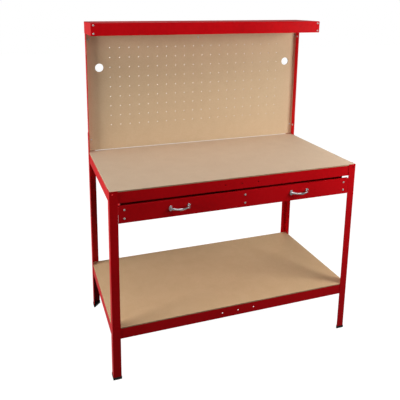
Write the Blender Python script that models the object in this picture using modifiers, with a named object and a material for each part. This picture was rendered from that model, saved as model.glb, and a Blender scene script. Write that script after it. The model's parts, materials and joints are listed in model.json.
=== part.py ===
"""Garage workbench with a pegboard back, a top shelf and one wide drawer.

Units are metres, +Z up and the front of the bench faces -Y.  The origin is on the
floor under the middle of the whole bench, handles included.  Sizes are laid out
about the middle of the frame, and the "bench" empty sets that middle back by half
of what the handles stand proud.  Every sub-part is one closed solid of its own.
"""
import math

import bmesh
import bpy
from mathutils import Matrix, Vector

# ---------------------------------------------------------------- dimensions
WIDTH = 1.200            # over the foot caps
DEPTH = 0.600            # the same; the handles stand proud of it
HEIGHT = 1.550           # to the top of the shelf
GAP = 0.0003             # clearance between pieces that touch

LEG_FLANGE = 0.036       # both flanges of the angle
LEG_T = 0.0015
SPLICE = 0.100           # rear legs overlap the posts above the worktop
SPLICE_BOLT_Z = 0.058    # above the worktop
SPLICE_BOLT_IN = 0.0197  # in front of the posts' rear face
CAP_WALL = 0.0012
CAP_HEIGHT = 0.012
CAP_SOLE = 0.003

SHEET = 0.0012           # beams, runners, shelf and drawer
WORKTOP_Z = 0.885        # top of the worktop board
LOW_SHELF_Z = 0.254      # top of the lower board
BOARD_T = 0.0057
BOARD_EDGE = 0.0006
BEAM_H = 0.049
BEAM_FLANGE = 0.030      # folded top edge that the board lies on
BEAM_LIP = 0.010         # folded bottom edge
CORNER_HOLE_R = 0.0035   # frame bolts
CORNER_HOLE_IN = 0.014   # from the leg's edge and from its top
SUPPORT_HOLE_R = 0.003
SUPPORT_PITCH = 0.080    # three holes in the middle of the long beams
SIDE_HOLE_Y = 0.200
SIDE_HOLE_DOWN = 0.013
BAR_W = 0.040            # bar under the middle of each board
BAR_H = 0.020
BAR_LIP = 0.010

PEG_T = 0.0037
PEG_LIFT = 0.003         # pegboard and posts, above the worktop
PEG_HEADROOM = 0.0005    # under the shelf panel
PEG_PITCH = 0.050
PEG_SIDE_MARGIN = 0.110  # least distance from the board's ends to a peg hole
PEG_END_MARGIN = 0.125   # and from its top and bottom
PEG_HOLE_R = 0.0025
CABLE_R = 0.021
CABLE_IN = 0.065         # from the board's ends
CABLE_ROW = 2            # rows down from the top one
PEG_SCREW_IN = 0.0147    # from the posts' outer faces
PEG_SCREW_LOW = 0.0615   # above the worktop
PEG_SCREW_HIGH = 0.0875  # below the top of the shelf
RAIL_H = 0.050           # strap behind the posts

SHELF_DEPTH = 0.226
SHELF_EDGE = 0.058       # height of the fascia and end plates
SHELF_RETURN = 0.024     # end plates fold in behind the fascia
SHELF_REAR_LIP = 0.012
FASCIA_CORNER = 0.006
FASCIA_SCREW_IN = 0.0115
FASCIA_SCREW_EDGE = 0.010

DRAWER_HEADROOM = 0.0122  # under the front beam
DRAWER_H = 0.0765
DRAWER_CLEAR = 0.0006    # each side, between the front and the legs
DRAWER_RETURN = 0.012
DRAWER_LENGTH = 0.4585
BOX_INSET = 0.0165       # sides, from the ends of the front
BOX_UNDER_TOP = 0.005
BOX_OVER_BOTTOM = 0.004
BOX_FLANGE = 0.018
BOX_LIP = 0.012
DIVIDER_FLANGE = 0.033
FRONT_SCREW_UPPER = 0.018
FRONT_SCREW_LOWER = 0.020
RUNNER_UNDER = 0.0143    # how far the ledges reach under the drawer
RUNNER_CLEAR = 0.0010    # beside the drawer
RUNNER_FRONT = 0.0280    # behind the face of the drawer
RUNNER_REAR = 0.0155     # in front of the rear legs' faces

SCREW_HEAD_R = 0.0045
SCREW_HEAD_H = 0.0024
SCREW_SHANK_R = 0.0020
SCREW_REACH = 0.006
SCREW_CLEAR = 0.0003     # radial, round a shank
BOLT_HEAD_R = 0.0055

HANDLE_X = 0.2935
HANDLE_DROP = 0.001      # bars hang this far above the front's middle line
HANDLE_FEET = 0.0415     # half the distance between the feet
HANDLE_OUT = 0.0265      # face of the drawer to the middle of the bar
HANDLE_BEND = 0.015
HANDLE_R = 0.0050
FOOT_HALF_W = 0.0085     # oval plates at the handles' feet
FOOT_HALF_H = 0.0130
FOOT_T = 0.0035

# ------------------------------------------------------------- derived sizes
LX = WIDTH / 2 - CAP_WALL - GAP          # outer faces of the legs
LY = DEPTH / 2 - CAP_WALL - GAP
IX = LX - LEG_T - GAP                    # outer faces of what nests in the legs
IY = LY - LEG_T - GAP
WORKTOP_BEAM_Z = WORKTOP_Z - BOARD_T - GAP
LOW_BEAM_Z = LOW_SHELF_Z - BOARD_T - GAP
SPLICE_Z = WORKTOP_Z + SPLICE_BOLT_Z
BOLT_Y = IY - SPLICE_BOLT_IN
PANEL_Z = HEIGHT - SHEET                 # underside of the shelf panel
SHELF_BOTTOM = HEIGHT - SHELF_EDGE
SHELF_FRONT = LY - SHELF_DEPTH
PEG_X = IX - LEG_T - GAP                 # ends of the pegboard
PEG_Y = IY - LEG_T - GAP                 # its rear face
PEG_LOW = WORKTOP_Z + PEG_LIFT
PEG_TOP = PANEL_Z - PEG_HEADROOM
FACE_Y = -LY                             # the drawer front is flush with the legs
DRAWER_X = LX - LEG_FLANGE - DRAWER_CLEAR
DRAWER_TOP = WORKTOP_BEAM_Z - BEAM_H - DRAWER_HEADROOM
DRAWER_BOTTOM = DRAWER_TOP - DRAWER_H
DRAWER_MID = (DRAWER_TOP + DRAWER_BOTTOM) / 2
BOX_X = DRAWER_X - BOX_INSET             # outer faces of the drawer's sides
BOX_TOP = DRAWER_TOP - BOX_UNDER_TOP
BOX_BOTTOM = DRAWER_BOTTOM + BOX_OVER_BOTTOM
BOX_BACK = FACE_Y + DRAWER_LENGTH
SCREW_HOLE_R = SCREW_SHANK_R + SCREW_CLEAR
PROUD = FACE_Y - HANDLE_OUT - HANDLE_R + DEPTH / 2

SIDES = (("left", -1), ("right", 1))
ENDS = (("front", -1), ("rear", 1))

# -------------------------------------------------------------------- set-up
for old in list(bpy.data.objects):
    bpy.data.objects.remove(old, do_unlink=True)

bench_parts = bpy.data.collections.new("workbench_with_drawer")
cutters = bpy.data.collections.new("workbench_cutters")
bpy.context.scene.collection.children.link(bench_parts)
bpy.context.scene.collection.children.link(cutters)

FINISH = {  # colour, metallic, roughness
    "paint": ((0.42, 0.004, 0.008, 1.0), 0.0, 0.38),
    "board": ((0.56, 0.41, 0.29, 1.0), 0.0, 0.75),
    "pegboard": ((0.48, 0.34, 0.22, 1.0), 0.0, 0.62),
    "plastic": ((0.012, 0.012, 0.013, 1.0), 0.0, 0.55),
    "zinc": ((0.62, 0.62, 0.60, 1.0), 1.0, 0.32),
    "chrome": ((0.80, 0.80, 0.81, 1.0), 1.0, 0.12),
}


def empty(name, location, parent=None):
    obj = bpy.data.objects.new(name, None)
    bench_parts.objects.link(obj)
    obj.parent = parent
    obj.location = location
    return obj


bench = empty("bench", (0.0, -PROUD / 2, 0.0))
drawer = empty("drawer", (0.0, FACE_Y, DRAWER_MID), bench)  # on the line it slides along


def add(name, mesh, finish, parent, location=(0.0, 0.0, 0.0)):
    """Link a mesh given about a location in the frame; None makes a cutter."""
    obj = bpy.data.objects.new(name, mesh)
    obj.parent = parent
    obj.location = Vector(location)
    if parent is drawer:
        obj.location -= drawer.location
    if finish is None:
        cutters.objects.link(obj)
        obj.hide_render = True
        obj.display_type = "WIRE"
        return obj
    bench_parts.objects.link(obj)
    colour, metallic, roughness = FINISH[finish]
    mat = bpy.data.materials.new(name + "_material")
    mat.use_nodes = True
    shader = mat.node_tree.nodes["Principled BSDF"]
    shader.inputs["Base Color"].default_value = colour
    shader.inputs["Metallic"].default_value = metallic
    shader.inputs["Roughness"].default_value = roughness
    mesh.materials.append(mat)
    return obj


def to_mesh(bm, name):
    mesh = bpy.data.meshes.new(name)
    bm.to_mesh(mesh)
    bm.free()
    return mesh


def box(name, x, y, z, finish, parent=bench, bevel=None):
    """Block between limits; bevel is (test of an edge's middle, width, segments)."""
    centre = Vector(((x[0] + x[1]) / 2, (y[0] + y[1]) / 2, (z[0] + z[1]) / 2))
    size = (abs(x[1] - x[0]), abs(y[1] - y[0]), abs(z[1] - z[0]))
    bm = bmesh.new()
    bmesh.ops.create_cube(bm, size=1.0)
    bmesh.ops.scale(bm, vec=size, verts=bm.verts)
    if bevel:
        chosen, width, segments = bevel
        edges = [e for e in bm.edges
                 if chosen((e.verts[0].co + e.verts[1].co) / 2 + centre)]
        bmesh.ops.bevel(bm, geom=edges, offset=width, segments=segments,
                        profile=0.5, affect="EDGES")
    return add(name, to_mesh(bm, name), finish, parent, centre)


def sheet(name, path, axis, span, finish, parent=bench, thickness=SHEET, lean=None):
    """Folded sheet: a ribbon along an axis, thickened to the left of its path.

    Negative thickness goes to the right.  lean(point) shortens both ends there,
    which mitres the folds.
    """
    place = {"X": lambda s, a, b: (s, a, b), "Y": lambda s, a, b: (a, s, b),
             "Z": lambda s, a, b: (a, b, s)}[axis]
    origin = Vector(place((span[0] + span[1]) / 2, *path[0]))
    bm = bmesh.new()
    rows = []
    for a, b in path:
        cut = lean(a, b) if lean else 0.0
        rows.append([bm.verts.new(Vector(place(s, a, b)) - origin)
                     for s in (span[0] + cut, span[1] - cut)])
    for row, after in zip(rows, rows[1:]):
        bm.faces.new((row[0], after[0], after[1], row[1]))
    obj = add(name, to_mesh(bm, name), finish, parent, origin)
    thick = obj.modifiers.new("sheet", "SOLIDIFY")
    thick.thickness = abs(thickness)
    to_left = 1 if axis == "Y" else -1
    thick.offset = to_left if thickness > 0 else -to_left
    thick.use_even_offset = True
    thick.use_quality_normals = True
    return obj


def combine(target, cutter, operation):
    """Exact Boolean of a cutter on a target."""
    mod = target.modifiers.new(cutter.name, "BOOLEAN")
    mod.operation = operation
    mod.solver = "EXACT"
    mod.object = cutter


def drill(target, holes, sides=10, label="holes"):
    """Cut round holes (axis, centre, radius) through a thin piece."""
    bm = bmesh.new()
    for axis, centre, radius in holes:
        turn = {"X": Matrix.Rotation(math.pi / 2, 4, "Y"),
                "Y": Matrix.Rotation(math.pi / 2, 4, "X"), "Z": Matrix()}[axis]
        bmesh.ops.create_cone(bm, cap_ends=True, segments=sides, radius1=radius,
                              radius2=radius, depth=0.012,
                              matrix=Matrix.Translation(centre) @ turn)
    name = "%s_%s" % (target.name, label)
    combine(target, add(name, to_mesh(bm, name), None, bench), "DIFFERENCE")


def pan_screw(name, position, direction, reach, parent=bench, head_r=SCREW_HEAD_R):
    """Domed head standing on a surface, shank going back into it."""
    h = SCREW_HEAD_H
    profile = [(0.0, GAP + h), (0.72 * head_r, GAP + 0.9 * h),
               (head_r, GAP + 0.4 * h), (head_r, GAP), (SCREW_SHANK_R, GAP),
               (SCREW_SHANK_R, -reach), (0.0, -reach)]
    mesh = bpy.data.meshes.new(name)
    mesh.from_pydata([(r, 0.0, z) for r, z in profile],
                     [(i, i + 1) for i in range(len(profile) - 1)], [])
    obj = add(name, mesh, "zinc", parent, position)
    obj.rotation_euler = Vector(direction).to_track_quat("Z", "Y").to_euler()
    spin = obj.modifiers.new("turned", "SCREW")
    spin.steps = 12
    spin.render_steps = 12
    spin.use_merge_vertices = True
    spin.merge_threshold = 0.00005
    return obj


# ------------------------------------------------- legs, foot caps and posts
for side, sx in SIDES:
    for end, sy in ENDS:
        # the angle's path runs from flange tip to corner to flange tip
        corner = [(sx * (LX - LEG_FLANGE), sy * LY), (sx * LX, sy * LY),
                  (sx * LX, sy * (LY - LEG_FLANGE))]
        inward = -LEG_T * sx * sy
        top = WORKTOP_Z if end == "front" else WORKTOP_Z + SPLICE
        leg = sheet("leg_%s_%s" % (end, side), corner, "Z", (CAP_SOLE + GAP, top),
                    "paint", thickness=inward)
        holes = [("Y", (sx * (LX - CORNER_HOLE_IN), sy * LY,
                        WORKTOP_Z - CORNER_HOLE_IN), CORNER_HOLE_R)]
        if end == "rear":
            holes += [("X", (sx * LX, BOLT_Y, SPLICE_Z), SCREW_HOLE_R),
                      ("Y", (sx * (IX - PEG_SCREW_IN), LY, WORKTOP_Z + PEG_SCREW_LOW),
                       SCREW_HOLE_R)]
        drill(leg, holes)

        wall = CAP_WALL + GAP
        tip = LEG_FLANGE + wall          # outer corner of the leg to the cap's tips
        inner = LEG_T + wall             # cap wall inside a flange tip
        cap = box("foot_cap_%s_%s" % (end, side),
                  sorted((sx * (LX + wall), sx * (LX - tip))),
                  sorted((sy * (LY + wall), sy * (LY - tip))), (0.0, CAP_HEIGHT),
                  "plastic", bevel=(lambda m: abs(m.z - CAP_HEIGHT / 2) < GAP
                                    and abs(abs(m.x) - (LX - tip)) < GAP
                                    and abs(abs(m.y) - (LY - tip)) < GAP,
                                    tip - inner, 1))
        slot = sheet(cap.name + "_slot",
                     [(sx * (LX - LEG_FLANGE - GAP), sy * (LY + GAP)),
                      (sx * (LX + GAP), sy * (LY + GAP)),
                      (sx * (LX + GAP), sy * (LY - LEG_FLANGE - GAP))],
                     "Z", (CAP_SOLE, 2 * CAP_HEIGHT), None,
                     thickness=-(LEG_T + 2 * GAP) * sx * sy)
        combine(cap, slot, "DIFFERENCE")

    post = sheet("post_" + side,
                 [(sx * (IX - LEG_FLANGE), IY), (sx * IX, IY),
                  (sx * IX, IY - LEG_FLANGE)], "Z",
                 (PEG_LOW, PANEL_Z - GAP), "paint", thickness=-LEG_T * sx)
    drill(post, [("X", (sx * IX, BOLT_Y, SPLICE_Z), SCREW_HOLE_R)]
          + [("Y", (sx * (IX - PEG_SCREW_IN), IY, z), SCREW_HOLE_R)
             for z in (WORKTOP_Z + PEG_SCREW_LOW, HEIGHT - PEG_SCREW_HIGH)])
    pan_screw("splice_bolt_" + side, (sx * (IX - LEG_T), BOLT_Y, SPLICE_Z),
              (-sx, 0, 0), 2 * LEG_T + GAP + CAP_WALL, head_r=BOLT_HEAD_R)

# --------------------------------------------------------- beams and boards
for level, top in (("worktop", WORKTOP_BEAM_Z), ("shelf", LOW_BEAM_Z)):
    low = top - BEAM_H
    for end, sy in ENDS:
        beam = sheet("%s_beam_%s" % (level, end),
                     [(sy * (IY - BEAM_LIP), low), (sy * IY, low), (sy * IY, top),
                      (sy * (IY - BEAM_FLANGE), top)], "X", (-IX, IX), "paint",
                     thickness=sy * SHEET, lean=lambda y, z: IY - abs(y))
        holes = [("Y", (i * SUPPORT_PITCH, sy * IY, low + BEAM_H / 2),
                  SUPPORT_HOLE_R) for i in (-1, 0, 1)]
        if level == "worktop":
            holes += [("Y", (sx * (LX - CORNER_HOLE_IN), sy * IY,
                             WORKTOP_Z - CORNER_HOLE_IN), CORNER_HOLE_R)
                      for sx in (-1, 1)]
        drill(beam, holes)
    web_end = IY - 2 * (SHEET + GAP)     # clears the long beams' webs and their folds
    for side, sx in SIDES:
        beam = sheet("%s_beam_%s" % (level, side),
                     [(sx * (IX - BEAM_LIP), low), (sx * IX, low), (sx * IX, top),
                      (sx * (IX - BEAM_FLANGE), top)], "Y", (-web_end, web_end),
                     "paint", thickness=sx * SHEET, lean=lambda x, z: IX - abs(x))
        if level == "shelf":
            drill(beam, [("X", (sx * IX, y, top - SIDE_HOLE_DOWN), SUPPORT_HOLE_R)
                         for y in (-SIDE_HOLE_Y, SIDE_HOLE_Y)])

    box(level + "_board", (-IX, IX), (-IY, IY), (top + GAP, top + GAP + BOARD_T),
        "board", bevel=(lambda m: True, BOARD_EDGE, 1))
    under = top - SHEET - GAP            # below the beams' flanges
    foot = under - BAR_H
    sheet(level + "_support_bar",
          [(BAR_W / 2 - BAR_LIP, foot), (BAR_W / 2, foot), (BAR_W / 2, under),
           (-BAR_W / 2, under), (-BAR_W / 2, foot), (-BAR_W / 2 + BAR_LIP, foot)],
          "Y", (-IY + SHEET + GAP, IY - SHEET - GAP), "paint")

# ----------------------------------------------------------------- pegboard
peg = box("pegboard", (-PEG_X, PEG_X), (PEG_Y - PEG_T, PEG_Y), (PEG_LOW, PEG_TOP),
          "pegboard")
cols = int((2 * PEG_X - 2 * PEG_SIDE_MARGIN) / PEG_PITCH) + 1
rows = int((PEG_TOP - PEG_LOW - 2 * PEG_END_MARGIN) / PEG_PITCH) + 1
first_x = -PEG_PITCH * (cols - 1) / 2
first_z = (PEG_TOP + PEG_LOW) / 2 + PEG_PITCH * (rows - 1) / 2
drill(peg, [("Y", (first_x + c * PEG_PITCH, PEG_Y, first_z - r * PEG_PITCH),
             PEG_HOLE_R) for r in range(rows) for c in range(cols)], 8, "peg_holes")
drill(peg, [("Y", (sx * (PEG_X - CABLE_IN), PEG_Y, first_z - CABLE_ROW * PEG_PITCH),
             CABLE_R) for sx in (-1, 1)], 32, "cable_holes")
screw_x = IX - PEG_SCREW_IN
high_z = HEIGHT - PEG_SCREW_HIGH
low_z = WORKTOP_Z + PEG_SCREW_LOW
peg_screws = (("top_left", -screw_x, high_z), ("top_middle", 0.0, high_z),
              ("top_right", screw_x, high_z), ("low_left", -screw_x, low_z),
              ("low_right", screw_x, low_z))
drill(peg, [("Y", (x, PEG_Y, z), SCREW_HOLE_R) for _, x, z in peg_screws], 10,
      "screw_holes")
for where, x, z in peg_screws:
    pan_screw("pegboard_screw_" + where, (x, PEG_Y - PEG_T, z), (0, -1, 0),
              LY - PEG_Y + PEG_T + CAP_WALL)

rail = box("pegboard_rail", (-IX, IX), (IY + GAP, IY + GAP + SHEET),
           (high_z - RAIL_H / 2, high_z + RAIL_H / 2), "paint")
drill(rail, [("Y", (x, IY, high_z), SCREW_HOLE_R) for x in (-screw_x, 0.0, screw_x)])

# ---------------------------------------------------------------- top shelf
behind = SHELF_FRONT + SHEET + GAP       # rear of the fascia
sheet("top_shelf_panel",
      [(LY, HEIGHT - SHELF_REAR_LIP), (LY, HEIGHT), (behind, HEIGHT)], "X",
      (-LX, LX), "paint")
fascia = box("top_shelf_fascia", (-LX, LX), (SHELF_FRONT, SHELF_FRONT + SHEET),
             (SHELF_BOTTOM, HEIGHT), "paint",
             bevel=(lambda m: abs(m.y - SHELF_FRONT - SHEET / 2) < GAP
                    and abs(m.x) > LX - GAP, FASCIA_CORNER, 4))
shelf_screws = (("upper", HEIGHT - FASCIA_SCREW_EDGE),
                ("lower", SHELF_BOTTOM + FASCIA_SCREW_EDGE))
fascia_x = LX - FASCIA_SCREW_IN
drill(fascia, [("Y", (sx * fascia_x, SHELF_FRONT, z), SCREW_HOLE_R)
               for sx in (-1, 1) for _, z in shelf_screws])
for side, sx in SIDES:
    plate = sheet("top_shelf_end_" + side,
                  [(sx * (LX - SHELF_RETURN), behind), (sx * LX, behind),
                   (sx * LX, LY - SHEET - GAP)], "Z", (SHELF_BOTTOM, PANEL_Z - GAP),
                  "paint", thickness=sx * SHEET)
    drill(plate, [("Y", (sx * fascia_x, behind, z), SCREW_HOLE_R)
                  for _, z in shelf_screws])
    for row, z in shelf_screws:
        pan_screw("fascia_screw_%s_%s" % (row, side),
                  (sx * fascia_x, SHELF_FRONT, z), (0, -1, 0), SCREW_REACH)

# ------------------------------------------------------------ drawer runners
ledge = BOX_BOTTOM - GAP                 # the drawer's sides slide on it
hanger = WORKTOP_BEAM_Z - 2 * SHEET - GAP  # hung under the side beams' folded tops
for side, sx in SIDES:
    web = sx * (BOX_X + RUNNER_CLEAR + SHEET)
    sheet("drawer_runner_" + side,
          [(sx * (BOX_X - RUNNER_UNDER), ledge - SHEET), (web, ledge - SHEET),
           (web, hanger), (sx * (IX - SHEET - GAP), hanger)], "Y",
          (FACE_Y + RUNNER_FRONT, LY - RUNNER_REAR), "paint",
          thickness=sx * SHEET)

# ------------------------------------------------------------------- drawer
front = sheet("drawer_front",
              [(FACE_Y + DRAWER_RETURN, DRAWER_BOTTOM), (FACE_Y, DRAWER_BOTTOM),
               (FACE_Y, DRAWER_TOP), (FACE_Y + DRAWER_RETURN, DRAWER_TOP)],
              "X", (-DRAWER_X, DRAWER_X), "paint", drawer, thickness=-SHEET)
front_screw_z = (("upper", DRAWER_TOP - FRONT_SCREW_UPPER),
                 ("lower", DRAWER_BOTTOM + FRONT_SCREW_LOWER))
side_screw_x = BOX_X - BOX_FLANGE / 2
front_screw_x = (("left", -side_screw_x), ("middle", DIVIDER_FLANGE / 2),
                 ("right", side_screw_x))
drill(front, [("Y", (x, FACE_Y, z), SCREW_HOLE_R)
              for _, x in front_screw_x for _, z in front_screw_z])
inner_y = FACE_Y + SHEET + GAP           # flanges behind the front
for side, sx in SIDES:
    wall = sheet("drawer_side_" + side,
                 [(sx * (BOX_X - BOX_FLANGE), inner_y), (sx * BOX_X, inner_y),
                  (sx * BOX_X, BOX_BACK)], "Z", (BOX_BOTTOM, BOX_TOP), "paint",
                 drawer, thickness=sx * SHEET)
    lip = box(wall.name + "_lip", sorted((sx * (BOX_X - SHEET / 2),
                                          sx * (BOX_X - BOX_LIP))),
              (inner_y + SHEET / 2, BOX_BACK), (BOX_BOTTOM, BOX_BOTTOM + SHEET), None,
              drawer)
    combine(wall, lip, "UNION")
    drill(wall, [("Y", (sx * side_screw_x, inner_y, z), SCREW_HOLE_R)
                 for _, z in front_screw_z])

tray_z = BOX_BOTTOM + SHEET + GAP        # trays lie on the sides' lips
tray_top = tray_z + SHEET
inside_x = BOX_X - SHEET - GAP
divider = sheet("drawer_divider",
                [(DIVIDER_FLANGE, inner_y), (0.0, inner_y),
                 (0.0, BOX_BACK - SHEET - GAP)], "Z", (tray_top + GAP, BOX_TOP),
                "paint", drawer, thickness=-SHEET)
drill(divider, [("Y", (DIVIDER_FLANGE / 2, inner_y, z), SCREW_HOLE_R)
                for _, z in front_screw_z])
box("drawer_back", (-inside_x, inside_x), (BOX_BACK - SHEET, BOX_BACK),
    (tray_top + GAP, BOX_TOP), "paint", drawer)
seam = SHEET / 2                         # the trays meet under the divider
for side, x in (("left", (-inside_x, seam - GAP / 2)),
                ("right", (seam + GAP / 2, inside_x))):
    box("drawer_tray_" + side, x, (inner_y + SHEET + GAP, BOX_BACK),
        (tray_z, tray_top), "paint", drawer)

for row, z in front_screw_z:
    for where, x in front_screw_x:
        pan_screw("drawer_screw_%s_%s" % (row, where), (x, FACE_Y, z), (0, -1, 0),
                  SCREW_REACH, drawer)


def bow_handle(name, x):
    """Bow pull: a bent bar with an oval plate at each foot, joined into one."""
    z = DRAWER_MID + HANDLE_DROP
    face = FACE_Y - GAP
    bar_y = FACE_Y - HANDLE_OUT
    points = [(-HANDLE_FEET, face - FOOT_T / 3)]
    for step in range(5):
        a = math.radians(22.5 * step)
        points.append((-HANDLE_FEET + HANDLE_BEND * (1 - math.cos(a)),
                       bar_y + HANDLE_BEND * (1 - math.sin(a))))
    points += [(-px, py) for px, py in reversed(points)]
    curve = bpy.data.curves.new(name + "_bar", "CURVE")
    curve.dimensions = "3D"
    spline = curve.splines.new("POLY")
    spline.points.add(len(points) - 1)
    for point, (px, py) in zip(spline.points, points):
        point.co = (px, py - FACE_Y, 0.0, 1.0)
    curve.bevel_depth = HANDLE_R
    curve.bevel_resolution = 4
    curve.use_fill_caps = True
    guide = bpy.data.objects.new(name + "_guide", curve)
    cutters.objects.link(guide)
    mesh = bpy.data.meshes.new_from_object(
        guide.evaluated_get(bpy.context.evaluated_depsgraph_get()))
    bpy.data.objects.remove(guide, do_unlink=True)
    bm = bmesh.new()
    bm.from_mesh(mesh)
    bmesh.ops.remove_doubles(bm, verts=bm.verts, dist=0.00001)
    bmesh.ops.recalc_face_normals(bm, faces=bm.faces)
    bm.to_mesh(mesh)
    bm.free()
    bar = add(name, mesh, "chrome", drawer, (x, FACE_Y, z))
    bar.data.shade_smooth()
    for n, s in enumerate((-1, 1)):
        bm = bmesh.new()
        bmesh.ops.create_cone(bm, cap_ends=True, segments=20, radius1=FOOT_HALF_W,
                              radius2=0.88 * FOOT_HALF_W, depth=FOOT_T,
                              matrix=Matrix.Rotation(math.pi / 2, 4, "X"))
        bmesh.ops.scale(bm, vec=(1.0, 1.0, FOOT_HALF_H / FOOT_HALF_W), verts=bm.verts)
        plate_name = "%s_foot_%d" % (name, n)
        plate = add(plate_name, to_mesh(bm, plate_name), None, drawer,
                    (x + s * HANDLE_FEET, face - FOOT_T / 2, z))
        combine(bar, plate, "UNION")


bow_handle("handle_left", -HANDLE_X)
bow_handle("handle_right", HANDLE_X)
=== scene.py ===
"""Looks for the workbench: finishes, fastenings, handles, floor, lights and camera.

Metres, +Z up, front towards -Y.  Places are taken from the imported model's boxes.
"""

import json
import math

import bmesh
import bpy
from mathutils import Matrix, Vector


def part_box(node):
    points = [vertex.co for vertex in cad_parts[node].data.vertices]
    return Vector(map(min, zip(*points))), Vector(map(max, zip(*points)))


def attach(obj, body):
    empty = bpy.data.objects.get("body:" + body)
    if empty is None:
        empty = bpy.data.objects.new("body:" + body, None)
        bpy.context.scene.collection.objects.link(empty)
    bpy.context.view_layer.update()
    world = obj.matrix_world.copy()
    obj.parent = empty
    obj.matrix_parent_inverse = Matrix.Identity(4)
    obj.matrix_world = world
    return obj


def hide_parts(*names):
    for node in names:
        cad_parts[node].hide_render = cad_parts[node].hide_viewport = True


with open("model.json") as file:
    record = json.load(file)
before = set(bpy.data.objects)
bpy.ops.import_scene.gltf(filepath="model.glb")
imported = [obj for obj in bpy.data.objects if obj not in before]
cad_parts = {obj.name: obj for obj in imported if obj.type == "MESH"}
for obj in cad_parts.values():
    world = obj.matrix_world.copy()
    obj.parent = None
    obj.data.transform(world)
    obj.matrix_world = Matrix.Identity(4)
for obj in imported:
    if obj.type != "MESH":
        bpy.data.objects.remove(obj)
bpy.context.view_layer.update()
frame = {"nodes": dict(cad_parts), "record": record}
nodes = frame["nodes"]


def srgb(r, g, b):
    """Linear colour from 0-255 display values."""
    return tuple(((c / 255 + 0.055) / 1.055) ** 2.4 if c > 10 else c / 255 / 12.92
                 for c in (r, g, b)) + (1.0,)


# ------------------------------------------------------------------ materials
class Shader:
    """A Principled material, with short calls for the nodes that feed it."""

    def __init__(self, name, metallic=0.0, specular=0.5):
        self.mat = bpy.data.materials.new(name)
        self.mat.use_nodes = True
        self.tree = self.mat.node_tree
        self.bsdf = self.tree.nodes["Principled BSDF"]
        self.bsdf.inputs["Metallic"].default_value = metallic
        self.bsdf.inputs["Specular IOR Level"].default_value = specular
        self.coord = self.node("TexCoord").outputs["Object"]
        self.geometry = self.node("NewGeometry")

    def node(self, kind, **settings):
        """A new shader node with its settings."""
        made = self.tree.nodes.new("ShaderNode" + kind)
        for key, value in settings.items():
            setattr(made, key, value)
        return made

    def feed(self, socket, value):
        """Links another node's output to a socket, or sets it to a plain value."""
        if isinstance(value, bpy.types.NodeSocket):
            self.tree.links.new(value, socket)
        else:
            socket.default_value = value

    def stretched(self, scale):
        """The object's coordinates, scaled apart along X, Y and Z."""
        mapping = self.node("Mapping")
        self.feed(mapping.inputs["Vector"], self.coord)
        mapping.inputs["Scale"].default_value = scale
        return mapping.outputs["Vector"]

    def noise(self, scale, detail=3.0, roughness=0.5, vector=None, distortion=0.0):
        """Cloudy value from 0 to 1; a larger scale makes it finer."""
        made = self.node("TexNoise")
        self.feed(made.inputs["Vector"], vector or self.coord)
        made.inputs["Scale"].default_value = scale
        made.inputs["Detail"].default_value = detail
        made.inputs["Roughness"].default_value = roughness
        made.inputs["Distortion"].default_value = distortion
        return made.outputs["Fac"]

    def cells(self, scale):
        """Distance to the middle of the nearest cell."""
        made = self.node("TexVoronoi")
        self.feed(made.inputs["Vector"], self.coord)
        made.inputs["Scale"].default_value = scale
        return made.outputs["Distance"]

    def span(self, value, low, high, to_low=0.0, to_high=1.0):
        """Takes low..high to to_low..to_high, and holds the ends past them."""
        made = self.node("MapRange")
        for key, v in (("Value", value), ("From Min", low), ("From Max", high),
                       ("To Min", to_low), ("To Max", to_high)):
            self.feed(made.inputs[key], v)
        return made.outputs["Result"]

    def math(self, operation, a, b=0.0):
        """One sum or product of values, by the Math node's own names."""
        made = self.node("Math", operation=operation)
        self.feed(made.inputs[0], a)
        self.feed(made.inputs[1], b)
        return made.outputs[0]

    def total(self, *parts):
        """Sum of (value, weight) pairs."""
        value, weight = parts[0]
        first = self.math("MULTIPLY", value, weight)
        return self.math("ADD", first, self.total(*parts[1:])) if len(parts) > 1 else first

    def ramp(self, factor, *stops):
        """Colour along stops of (place, colour)."""
        made = self.node("ValToRGB")
        self.feed(made.inputs["Fac"], factor)
        line = made.color_ramp
        while len(line.elements) < len(stops):
            line.elements.new(0.5)
        for element, (place, colour) in zip(line.elements, stops):
            element.position = place
            element.color = colour
        return made.outputs["Color"]

    def mix(self, factor, a, b):
        """Colour a where the factor is 0, and b where it is 1."""
        made = self.node("Mix", data_type="RGBA")
        self.feed(made.inputs["Factor"], factor)
        self.feed(made.inputs[6], a)        # sockets 6, 7 and 2 are the colour ones
        self.feed(made.inputs[7], b)
        return made.outputs[2]

    def facing(self, axis):
        """How squarely the surface faces along X, Y or Z, as a signed share."""
        split = self.node("SeparateXYZ")
        self.feed(split.inputs[0], self.geometry.outputs["Normal"])
        return split.outputs[axis]

    def rounded(self, radius):
        """(normal softened over an edge, mask that is 1 on the edge)."""
        soft = self.node("Bevel", samples=4)
        soft.inputs["Radius"].default_value = radius
        dot = self.node("VectorMath", operation="DOT_PRODUCT")
        self.feed(dot.inputs[0], soft.outputs["Normal"])
        self.feed(dot.inputs[1], self.geometry.outputs["True Normal"])
        return soft.outputs["Normal"], self.span(dot.outputs["Value"], 0.99, 0.80)

    def finish(self, colour, roughness, height, depth, strength, normal=None):
        """Sets colour, roughness and a bump of a depth in metres; gives the material."""
        self.feed(self.bsdf.inputs["Base Color"], colour)
        self.feed(self.bsdf.inputs["Roughness"], roughness)
        bump = self.node("Bump")
        bump.inputs["Strength"].default_value = strength
        bump.inputs["Distance"].default_value = depth
        self.feed(bump.inputs["Height"], height)
        if normal is not None:
            self.feed(bump.inputs["Normal"], normal)
        self.feed(self.bsdf.inputs["Normal"], bump.outputs["Normal"])
        return self.mat


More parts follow.
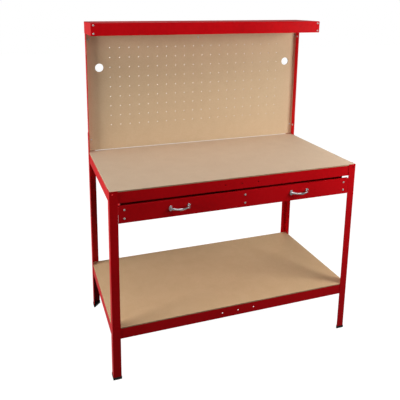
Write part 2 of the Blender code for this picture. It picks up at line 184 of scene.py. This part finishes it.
def red_paint():
    """Powder coat: orange peel, grit specks and thin edges."""
    s = Shader("red_powder_coat", specular=0.14)
    broad = s.noise(4.0, 3.0, 0.55)
    cloud = s.noise(60.0, 4.0, 0.6)
    tone = s.total((broad, 0.6), (cloud, 0.4))
    colour = s.ramp(tone, (0.30, srgb(184, 8, 16)), (0.50, srgb(199, 9, 18)),
                    (0.72, srgb(209, 14, 24)))
    # a few pale specks where grit sat in the powder
    specks = s.span(s.cells(210.0), 0.045, 0.015)
    specks = s.math("MULTIPLY", specks, s.span(s.noise(35.0), 0.58, 0.66))
    colour = s.mix(s.math("MULTIPLY", specks, 0.12), colour, srgb(218, 60, 60))
    # the coat pulls thin on the sheet's edges and folds
    normal, edge = s.rounded(0.0011)
    thin = s.math("MULTIPLY", edge, s.span(s.noise(140.0, 4.0), 0.42, 0.68, 0.05, 0.40))
    colour = s.mix(thin, colour, srgb(228, 52, 50))
    rough = s.span(s.total((s.noise(9.0, 4.0), 0.5), (cloud, 0.5)), 0.3, 0.7, 0.30, 0.46)
    orange_peel = s.total((s.noise(520.0, 2.0), 1.0), (s.noise(1400.0, 1.0), 0.4))
    return s.finish(colour, rough, orange_peel, 0.00010, 0.55, normal)


def fibreboard(name, dark, middle, pale):
    """Sanded fibreboard: short fibres, flecks and layered sawn edges."""
    s = Shader(name, specular=0.28)
    mottle = s.noise(14.0, 5.0, 0.6, distortion=0.4)
    fine = s.noise(520.0, 6.0, 0.75)
    one = s.noise(1.0, 5.0, 0.7, vector=s.stretched((900.0, 190.0, 900.0)))
    two = s.noise(1.0, 5.0, 0.7, vector=s.stretched((210.0, 840.0, 840.0)))
    fibre = s.total((one, 0.5), (two, 0.5))
    tone = s.total((mottle, 0.14), (fine, 0.40), (fibre, 0.46))
    colour = s.ramp(tone, (0.34, dark), (0.50, middle), (0.66, pale))
    flecks = s.math("MULTIPLY", s.span(s.cells(330.0), 0.16, 0.05),
                    s.span(s.noise(90.0, 2.0), 0.52, 0.62))
    colour = s.mix(s.math("MULTIPLY", flecks, 0.45), colour, srgb(142, 110, 80))
    # sawn edges show the denser layers and take up dirt
    layers = s.noise(1.0, 3.0, 0.6, vector=s.stretched((60.0, 60.0, 2200.0)))
    sawn = s.ramp(layers, (0.32, srgb(150, 118, 88)), (0.68, srgb(196, 166, 133)))
    edge = s.span(s.math("ABSOLUTE", s.facing("Z")), 0.8, 0.3)
    colour = s.mix(edge, colour, sawn)
    rough = s.span(tone, 0.35, 0.65, 0.60, 0.78)
    return s.finish(colour, rough, s.total((fibre, 0.6), (fine, 0.4)), 0.00018, 0.6)


def hardboard():
    """Hardboard: smooth face, mesh-pressed back and raw drilled edges."""
    s = Shader("perforated_hardboard", specular=0.34)
    mottle = s.noise(18.0, 5.0, 0.6, distortion=0.6)
    fine = s.noise(600.0, 6.0, 0.7)
    fibre = s.noise(1.0, 5.0, 0.7, vector=s.stretched((240.0, 700.0, 760.0)))
    tone = s.total((mottle, 0.12), (fine, 0.40), (fibre, 0.48))
    face = s.ramp(tone, (0.34, srgb(198, 170, 135)), (0.50, srgb(213, 186, 151)),
                  (0.66, srgb(223, 200, 168)))
    # the pressing screen leaves a fine mesh on the back
    waves = []
    for direction in ("X", "Z"):
        wave = s.node("TexWave", bands_direction=direction)
        s.feed(wave.inputs["Vector"], s.coord)
        wave.inputs["Scale"].default_value = 190.0
        wave.inputs["Distortion"].default_value = 0.6
        wave.inputs["Detail Scale"].default_value = 0.5
        waves.append(wave.outputs["Fac"])
    mesh = s.math("MULTIPLY", waves[0], waves[1])
    back = s.ramp(s.total((mesh, 0.4), (tone, 0.6)),
                  (0.25, srgb(112, 80, 54)), (0.60, srgb(158, 122, 88)))
    behind = s.span(s.facing("Y"), 0.3, 0.7)
    colour = s.mix(behind, face, back)
    # drilled walls and the board's rim are raw and darker
    rim = s.span(s.math("ABSOLUTE", s.facing("Y")), 0.7, 0.2)
    colour = s.mix(s.math("MULTIPLY", rim, s.span(fine, 0.3, 0.7, 0.6, 1.0)), colour,
                   srgb(140, 104, 72))
    height = s.total((s.math("MULTIPLY", mesh, behind), 1.6), (tone, 0.5))
    return s.finish(colour, s.span(tone, 0.35, 0.65, 0.48, 0.66), height, 0.00016, 0.6)


def black_plastic():
    """Grained black moulding, scuffed pale at the floor."""
    s = Shader("moulded_black_plastic", specular=0.4)
    grain = s.cells(1500.0)
    cloud = s.noise(110.0, 4.0, 0.6)
    colour = s.ramp(cloud, (0.35, srgb(20, 20, 21)), (0.70, srgb(34, 33, 33)))
    # pale scuffs low down, where a cap drags on the floor
    split = s.node("SeparateXYZ")
    s.feed(split.inputs[0], s.coord)
    low = s.span(split.outputs["Z"], 0.006, 0.0)
    scuff = s.math("MULTIPLY", low, s.span(s.noise(420.0, 5.0, 0.7), 0.52, 0.70))
    colour = s.mix(s.math("MULTIPLY", scuff, 0.5), colour, srgb(108, 104, 99))
    normal, edge = s.rounded(0.0009)
    return s.finish(colour, s.span(cloud, 0.3, 0.7, 0.42, 0.60), grain, 0.00012, 0.5, normal)


def zinc():
    """Cloudy zinc plate with fine turning marks around the shank."""
    s = Shader("zinc_plate", metallic=0.55)
    cloud = s.noise(320.0, 3.0, 0.55)
    colour = s.ramp(cloud, (0.30, srgb(205, 206, 204)), (0.52, srgb(228, 228, 225)),
                    (0.74, srgb(234, 231, 220)))
    turned = s.noise(1.0, 2.0, 0.5, vector=s.stretched((600.0, 600.0, 5200.0)))
    return s.finish(colour, s.span(cloud, 0.3, 0.7, 0.40, 0.56), turned, 0.00003, 0.4)


def chrome():
    """Chrome plate with smudges."""
    s = Shader("chrome_plate", metallic=1.0)
    smudge = s.noise(70.0, 4.0, 0.6, distortion=0.8)
    haze = s.noise(900.0, 3.0, 0.6)
    colour = s.ramp(smudge, (0.30, srgb(206, 208, 211)), (0.70, srgb(228, 229, 231)))
    rough = s.span(s.total((smudge, 0.7), (haze, 0.3)), 0.35, 0.65, 0.09, 0.20)
    return s.finish(colour, rough, smudge, 0.00010, 0.25)


MATERIALS = {"red_paint": red_paint(),
             "mdf_board": fibreboard("mdf_worktop", srgb(196, 170, 143),
                                     srgb(211, 187, 160), srgb(222, 201, 176)),
             "hardboard": hardboard(), "black_plastic": black_plastic(),
             "zinc_screws": zinc(), "chrome": chrome()}
node_slot = {p["node"]: p["material_slot"] for p in frame["record"]["subparts"]}
for name, obj in nodes.items():
    obj.data.materials.clear()
    obj.data.materials.append(MATERIALS[node_slot[name]])
# the lower board is the same sheet as the worktop, given a browner, darker copy of its
# colours: painted shade under the worktop and painted warm bounce light from the red frame
nodes["shelf_board"].data.materials[0] = fibreboard(
    "mdf_shelf_painted_shade", srgb(186, 152, 113), srgb(205, 171, 131), srgb(218, 188, 151))


def piece(name, bm, slot, body, place, smooth):
    """A new visible piece from a bmesh, put in place and set riding on a body.

    Edges sharper than smooth, in degrees, stay sharp.
    """
    mesh = bpy.data.meshes.new(name)
    bm.normal_update()
    bm.to_mesh(mesh)
    bm.free()
    obj = bpy.data.objects.new(name, mesh)
    bpy.context.scene.collection.objects.link(obj)
    obj.matrix_world = place
    mesh.materials.append(MATERIALS[slot])
    mesh.shade_smooth()
    mesh.set_sharp_from_angle(angle=math.radians(smooth))
    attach(obj, body)
    return obj


# ------------------------------------------------------------------- fastenings
HEAD_H = 0.0024         # height of a pan head
HEAD_CLEAR = 0.0003     # a head sits this far off the sheet that it holds
HEAD_PROUD = HEAD_CLEAR + HEAD_H
HEAD_RIM = 0.35         # share of the head's height where the dome meets its rim
DOME_STEPS = 8
SHANK_R = 0.0020
THREAD_PITCH = 0.0007
THREAD_ROOT = 0.80      # share of the shank's radius left at the foot of the thread
PLAIN_TIP = 0.0008      # end of the shank that has no thread
CROSS_LONG, CROSS_WIDE = 1.15, 0.26     # the recess, by the head's radius
NUT_ACROSS = 0.0070     # between flats
NUT_H = 0.0024
NUT_BEHIND = 0.0030     # behind the face of the front sheet
HIGH_BOLT_DROP = 0.004  # the posts' second bolts, below the middle of the strap
PANEL_SCREW_IN = 0.0085             # from an end of the shelf panel
PANEL_SCREW_BACK = (("front", 0.105), ("rear", 0.020))      # from its rear edge
PANEL_SCREW_SUNK = 0.0008           # its head's seat, below the panel's top


def lathe(bm, profile, sides=24):
    """Closed solid turned about Z from (radius, height) points on the axis at both ends."""
    rings = []
    for r, z in profile:
        if r < 1e-7:
            rings.append([bm.verts.new((0.0, 0.0, z))])
        else:
            rings.append([bm.verts.new((r * math.cos(2 * math.pi * i / sides),
                                        r * math.sin(2 * math.pi * i / sides), z))
                          for i in range(sides)])
    for a, b in zip(rings, rings[1:]):
        for i in range(sides):
            j = (i + 1) % sides
            if len(a) == 1:
                bm.faces.new((a[0], b[i], b[j]))
            elif len(b) == 1:
                bm.faces.new((a[i], b[0], a[j]))
            else:
                bm.faces.new((a[i], b[i], b[j], a[j]))


def screw_shape(head_r, head_h, shank_r, reach):
    """Pan-head screw with a cross recess and a rolled thread, head along +Z."""
    bm = bmesh.new()
    base = HEAD_CLEAR
    profile = [(0.0, base + head_h)]
    for k in range(1, DOME_STEPS + 1):
        a = math.radians(90 * k / DOME_STEPS)
        rise = HEAD_RIM + (1.0 - HEAD_RIM) * math.cos(a) ** 0.7
        profile.append((head_r * math.sin(a) ** 0.9, base + head_h * rise))
    # the rim, its rounded lower edge, and the underside in to the shank
    profile += [(head_r, base + 0.15 * head_h), (0.96 * head_r, base), (shank_r, base)]
    root_r = THREAD_ROOT * shank_r
    turns = max(1, int((reach - PLAIN_TIP) / THREAD_PITCH))
    for k in range(turns):
        z = -k * THREAD_PITCH
        profile += [(shank_r, z - 0.1 * THREAD_PITCH), (root_r, z - 0.55 * THREAD_PITCH)]
    # chamfered end
    profile += [(root_r, -reach + 0.0004), (0.62 * shank_r, -reach), (0.0, -reach)]
    lathe(bm, profile)
    made = bpy.data.meshes.new("screw_blank")
    bm.to_mesh(made)
    bm.free()
    blank = bpy.data.objects.new("screw_blank", made)
    cross = bmesh.new()
    for turn in (0.0, math.pi / 2):
        bmesh.ops.create_cube(cross, size=1.0, matrix=Matrix.Translation(
            (0.0, 0.0, base + 1.05 * head_h)) @ Matrix.Rotation(turn, 4, "Z")
            @ Matrix.Diagonal((CROSS_LONG * head_r, CROSS_WIDE * head_r, 1.2 * head_h, 1.0)))
    cutter_mesh = bpy.data.meshes.new("cross_recess")
    cross.to_mesh(cutter_mesh)
    cross.free()
    cutter = bpy.data.objects.new("cross_recess", cutter_mesh)
    for o in (blank, cutter):
        bpy.context.scene.collection.objects.link(o)
    cut = blank.modifiers.new("recess", "BOOLEAN")
    cut.object = cutter
    cut.solver = "EXACT"
    cut.use_self = True
    bpy.context.view_layer.update()
    done = bpy.data.meshes.new_from_object(
        blank.evaluated_get(bpy.context.evaluated_depsgraph_get()))
    for o in (blank, cutter):
        bpy.data.objects.remove(o, do_unlink=True)
    return done


def standing(at, direction, turn):
    """Places a shape's +Z along a direction at a point, turned about it."""
    return (Matrix.Translation(at) @ Vector(direction).to_track_quat("Z", "Y")
            .to_matrix().to_4x4() @ Matrix.Rotation(turn, 4, "Z"))


def fastener(name, shape, body, at, direction, turn, stands_for=None):
    """One screw or bolt of a shape, its head at a point and looking along a direction."""
    bm = bmesh.new()
    bm.from_mesh(shape)
    obj = piece(name, bm, "zinc_screws", body, standing(at, direction, turn),
                smooth=35.0)
    if stands_for:
        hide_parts(stands_for)


def nut_shape():
    """Hexagon nut with chamfered ends, from z = 0 down."""
    bm = bmesh.new()
    flat, corner = NUT_ACROSS / 2, NUT_ACROSS / 2 / math.cos(math.pi / 6)
    lathe(bm, [(0.0, 0.0), (flat, 0.0), (corner, -0.18 * NUT_H), (corner, -0.82 * NUT_H),
               (flat, -NUT_H), (0.0, -NUT_H)], 6)
    return bm


shapes = {}             # by how far the screw reaches; every head is turned another way
for i, name in enumerate(sorted(n for n in nodes if "_screw_" in n)):
    low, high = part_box(name)
    middle = (low + high) / 2
    face_y = low.y + HEAD_PROUD
    reach = high.y - face_y
    key = round(reach, 4)
    if key not in shapes:
        shapes[key] = screw_shape((high.x - low.x) / 2, HEAD_H, SHANK_R, reach)
    at = Vector((middle.x, face_y, middle.z))
    body = "drawer" if name.startswith("drawer") else "frame"
    fastener("detail_" + name, shapes[key], body, at, (0, -1, 0), 0.7 * i + 0.35, name)
    if not name.startswith("pegboard"):
        # nut behind the two sheets that the screw joins
        piece("nut_" + name, nut_shape(), "zinc_screws", body,
              standing(at + Vector((0.0, NUT_BEHIND, 0.0)), (0, -1, 0), 0.5 * i),
              smooth=30.0)

for side, sx in (("left", -1), ("right", 1)):
    name = "splice_bolt_" + side
    low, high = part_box(name)
    middle = (low + high) / 2
    head_x = high.x - HEAD_PROUD if sx < 0 else low.x + HEAD_PROUD
    bolt = screw_shape((high.z - low.z) / 2, HEAD_H, SHANK_R, high.x - low.x - HEAD_PROUD)
    fastener("detail_" + name, bolt, "frame", (head_x, middle.y, middle.z), (-sx, 0, 0),
             0.9 + sx, name)
    # a second bolt high in the same flange, under the shelf
    rail_low, rail_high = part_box("pegboard_rail")
    high_z = (rail_low.z + rail_high.z) / 2 - HIGH_BOLT_DROP
    fastener("post_bolt_" + side, bolt, "frame", (head_x, middle.y, high_z), (-sx, 0, 0), 0.4)

# flat-headed screws hold the shelf panel down to its end plates
panel_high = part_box("top_shelf_panel")[1]
flat_screw = screw_shape(head_r=0.0045, head_h=0.0007, shank_r=0.0018, reach=0.0010)
for side, sx in (("left", -1), ("right", 1)):
    for end, back in PANEL_SCREW_BACK:
        at = (sx * (panel_high.x - PANEL_SCREW_IN), panel_high.y - back,
              panel_high.z - PANEL_SCREW_SUNK)
        fastener("panel_screw_%s_%s" % (end, side), flat_screw, "frame", at, (0, 0, 1),
                 0.8 + sx)


# ---------------------------------------------------------------------- handles
BAR_SIDES = 20
GRIP_R = 0.0054             # the bar's radius in the middle of its arch
WAIST = 0.0016              # slimmer by this between the middle and a foot
FLARE = 0.0016              # fuller by this where it meets the foot
FLARE_FROM, WAIST_TO = 0.90, 0.96       # shares of the way from the middle to a foot
ARCH_STEPS = 36
BAR_START = 0.001           # the bar's ends lie in their feet, this far off the drawer
FOOT_WIDE = 0.0085 / 0.0130             # width of an oval foot, by its height
FRONT_SHEET = 0.0012        # steel that the handles are held through


def swept(bm, points, radii, sides):
    """Tube of changing radius along points in a plane of constant z."""
    up = Vector((0.0, 0.0, 1.0))
    rings = []
    for i, (p, r) in enumerate(zip(points, radii)):
        a, b = points[max(i - 1, 0)], points[min(i + 1, len(points) - 1)]
        ahead = (Vector(b) - Vector(a)).normalized()
        out = up.cross(ahead)
        rings.append([bm.verts.new(Vector(p) + r * (math.cos(2 * math.pi * k / sides) * out
                                                    + math.sin(2 * math.pi * k / sides) * up))
                      for k in range(sides)])
    for a, b in zip(rings, rings[1:]):
        for k in range(sides):
            j = (k + 1) % sides
            bm.faces.new((a[k], b[k], b[j], a[j]))
    bm.faces.new(rings[0])
    bm.faces.new(list(reversed(rings[-1])))


def oval_foot(half_wide, half_high):
    """Domed oval foot, its back on y = 0, from (share of its oval, height) points."""
    foot = bmesh.new()
    lathe(foot, [(0.0, 0.0052), (0.45, 0.0048), (0.70, 0.0038), (0.88, 0.0027),
                 (0.97, 0.0018), (1.0, 0.0010), (1.0, 0.0), (0.0, 0.0)], 32)
    for v in foot.verts:
        v.co = (v.co.x * half_wide, -v.co.z, v.co.y * half_high)
    bmesh.ops.reverse_faces(foot, faces=foot.faces)
    return foot


def bow_pull(name):
    """Chrome pull: an arched bar, flared at its ends, on two domed oval feet."""
    low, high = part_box(name)
    middle = (low + high) / 2
    half_foot = (high.z - low.z) / 2
    foot_w = half_foot * FOOT_WIDE
    feet = (high.x - low.x) / 2 - foot_w
    out = high.y - low.y - GRIP_R       # drawer's face to the middle of the bar
    points, radii = [], []
    for k in range(ARCH_STEPS + 1):
        t = math.pi * k / ARCH_STEPS
        lift = max(0.0, math.sin(t)) ** 1.5
        along = abs(math.cos(t))        # 0 in the middle, 1 at a foot
        points.append((-feet * math.cos(t), -BAR_START - (out - BAR_START) * lift, 0.0))
        waist = WAIST * math.sin(math.pi * min(1.0, along / WAIST_TO)) ** 2
        flare = FLARE * max(0.0, (along - FLARE_FROM) / (1.0 - FLARE_FROM))
        radii.append(GRIP_R - waist + flare)
    bm = bmesh.new()
    swept(bm, points, radii, BAR_SIDES)
    for s in (-1, 1):
        foot = oval_foot(foot_w, half_foot)
        bmesh.ops.translate(foot, verts=foot.verts, vec=(s * feet, 0.0, 0.0))
        shape = bpy.data.meshes.new("foot")
        foot.to_mesh(shape)
        foot.free()
        bm.from_mesh(shape)
        bpy.data.meshes.remove(shape)
    bmesh.ops.recalc_face_normals(bm, faces=bm.faces)
    obj = piece("detail_" + name, bm, "chrome", "drawer",
                Matrix.Translation((middle.x, high.y, middle.z)), smooth=50.0)
    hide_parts(name)
    # screws from inside the drawer hold the feet
    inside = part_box("drawer_front")[0].y + FRONT_SHEET
    held = screw_shape(head_r=0.0042, head_h=0.0022, shank_r=0.0018, reach=0.0008)
    for n, s in enumerate((-1, 1)):
        fastener("fixing_%s_%d" % (name, n), held, "drawer",
                 (middle.x + s * feet, inside, middle.z), (0, 1, 0), 0.6 + n)


bow_pull("handle_left")
bow_pull("handle_right")

# ------------------------------------------------------------------------ stage
WHITE = (1.0, 1.0, 1.0, 1.0)
FLOOR_SIZE = 14.0
FLOOR_DROP = 0.0005         # keeps the floor just clear of the foot caps
WORLD_FILL = 0.03           # the world's strength on the bench
WORLD_GLOSS = 0.24          # in its reflections
WORLD_SEEN = 1.0            # and behind it, as the camera sees it


def pale_floor():
    """Evenly bright ground that puts no light or reflection on the bench."""
    s = Shader("pale_floor", specular=0.1)
    s.feed(s.bsdf.inputs["Emission Color"], WHITE)
    s.feed(s.bsdf.inputs["Emission Strength"], 1.0)
    tint = s.ramp(s.noise(0.8), (0.3, srgb(92, 92, 92)), (0.7, srgb(97, 97, 97)))
    bm = bmesh.new()
    bmesh.ops.create_grid(bm, x_segments=4, y_segments=4, size=FLOOR_SIZE)
    mesh = bpy.data.meshes.new("floor")
    bm.to_mesh(mesh)
    bm.free()
    mesh.materials.append(s.finish(tint, 0.9, s.noise(300.0), 0.0001, 0.1))
    made = bpy.data.objects.new("floor", mesh)
    bpy.context.scene.collection.objects.link(made)
    made.location.z = -FLOOR_DROP
    made.visible_diffuse = False
    made.visible_glossy = False
    return made


def studio_world():
    """A faint fill on the bench, paler in its gloss, and white where the camera sees it."""
    world = bpy.data.worlds.new("studio")
    world.use_nodes = True
    tree = world.node_tree
    background = tree.nodes["Background"]
    background.inputs["Color"].default_value = WHITE
    ray = tree.nodes.new("ShaderNodeLightPath")
    unseen = tree.nodes.new("ShaderNodeMapRange")
    unseen.inputs["To Min"].default_value = WORLD_FILL
    unseen.inputs["To Max"].default_value = WORLD_GLOSS
    level = tree.nodes.new("ShaderNodeMapRange")
    level.inputs["To Max"].default_value = WORLD_SEEN
    tree.links.new(ray.outputs["Is Glossy Ray"], unseen.inputs["Value"])
    tree.links.new(unseen.outputs["Result"], level.inputs["To Min"])
    tree.links.new(ray.outputs["Is Camera Ray"], level.inputs["Value"])
    tree.links.new(level.outputs["Result"], background.inputs["Strength"])
    return world


def softbox(name, at, towards, size, watts, mirrored):
    """Area light; not mirrored where the glossy paint must not show the box."""
    light = bpy.data.lights.new(name, "AREA")
    light.shape = "RECTANGLE"
    light.size, light.size_y = size
    light.energy = watts
    obj = bpy.data.objects.new(name, light)
    bpy.context.scene.collection.objects.link(obj)
    obj.location = at
    obj.rotation_euler = (Vector(towards) - Vector(at)).to_track_quat("-Z", "Y").to_euler()
    obj.visible_glossy = mirrored


floor = pale_floor()
bpy.context.scene.world = studio_world()
softbox("near_right", (1.5, -1.12, 1.5), (0.5, 0.0, 1.0), (0.8, 0.8), 25.5,
        mirrored=False)
softbox("overhead", (-0.2, -0.68, 3.1), (0.0, 0.0, 0.9), (2.2, 1.6), 23.5,
        mirrored=True)
softbox("side_left", (-2.8, -0.25, 1.35), (0.0, 0.1, 0.9), (1.4, 1.4), 76.0,
        mirrored=False)
softbox("side_right", (3.0, -0.2, 1.4), (0.0, 0.0, 0.9), (1.4, 2.0), 8.0,
        mirrored=True)
softbox("behind", (0.8, 3.0, 2.7), (0.0, 0.3, 0.9), (2.4, 2.0), 40.0,
        mirrored=False)

# ----------------------------------------------------------------------- camera
YAW, PITCH, ROLL = 0.3194, -0.2048, 0.0047      # radians, fitted to the photograph

camera = bpy.data.objects.new("camera", bpy.data.cameras.new("camera"))
bpy.context.scene.collection.objects.link(camera)
ahead = Vector((math.sin(YAW) * math.cos(PITCH), math.cos(YAW) * math.cos(PITCH),
                math.sin(PITCH)))
camera.location = (-0.9212, -2.1629, 1.6420)
camera.rotation_euler = (ahead.to_track_quat("-Z", "Y").to_matrix()
                         @ Matrix.Rotation(ROLL, 3, "Z")).to_euler()
camera.data.sensor_width = 36.0
camera.data.lens = 44.22
camera.data.shift_x = 0.0524
camera.data.shift_y = -0.2381       # the fit needs both shifts
bpy.context.scene.camera = camera
bpy.context.scene.view_settings.view_transform = "Standard"
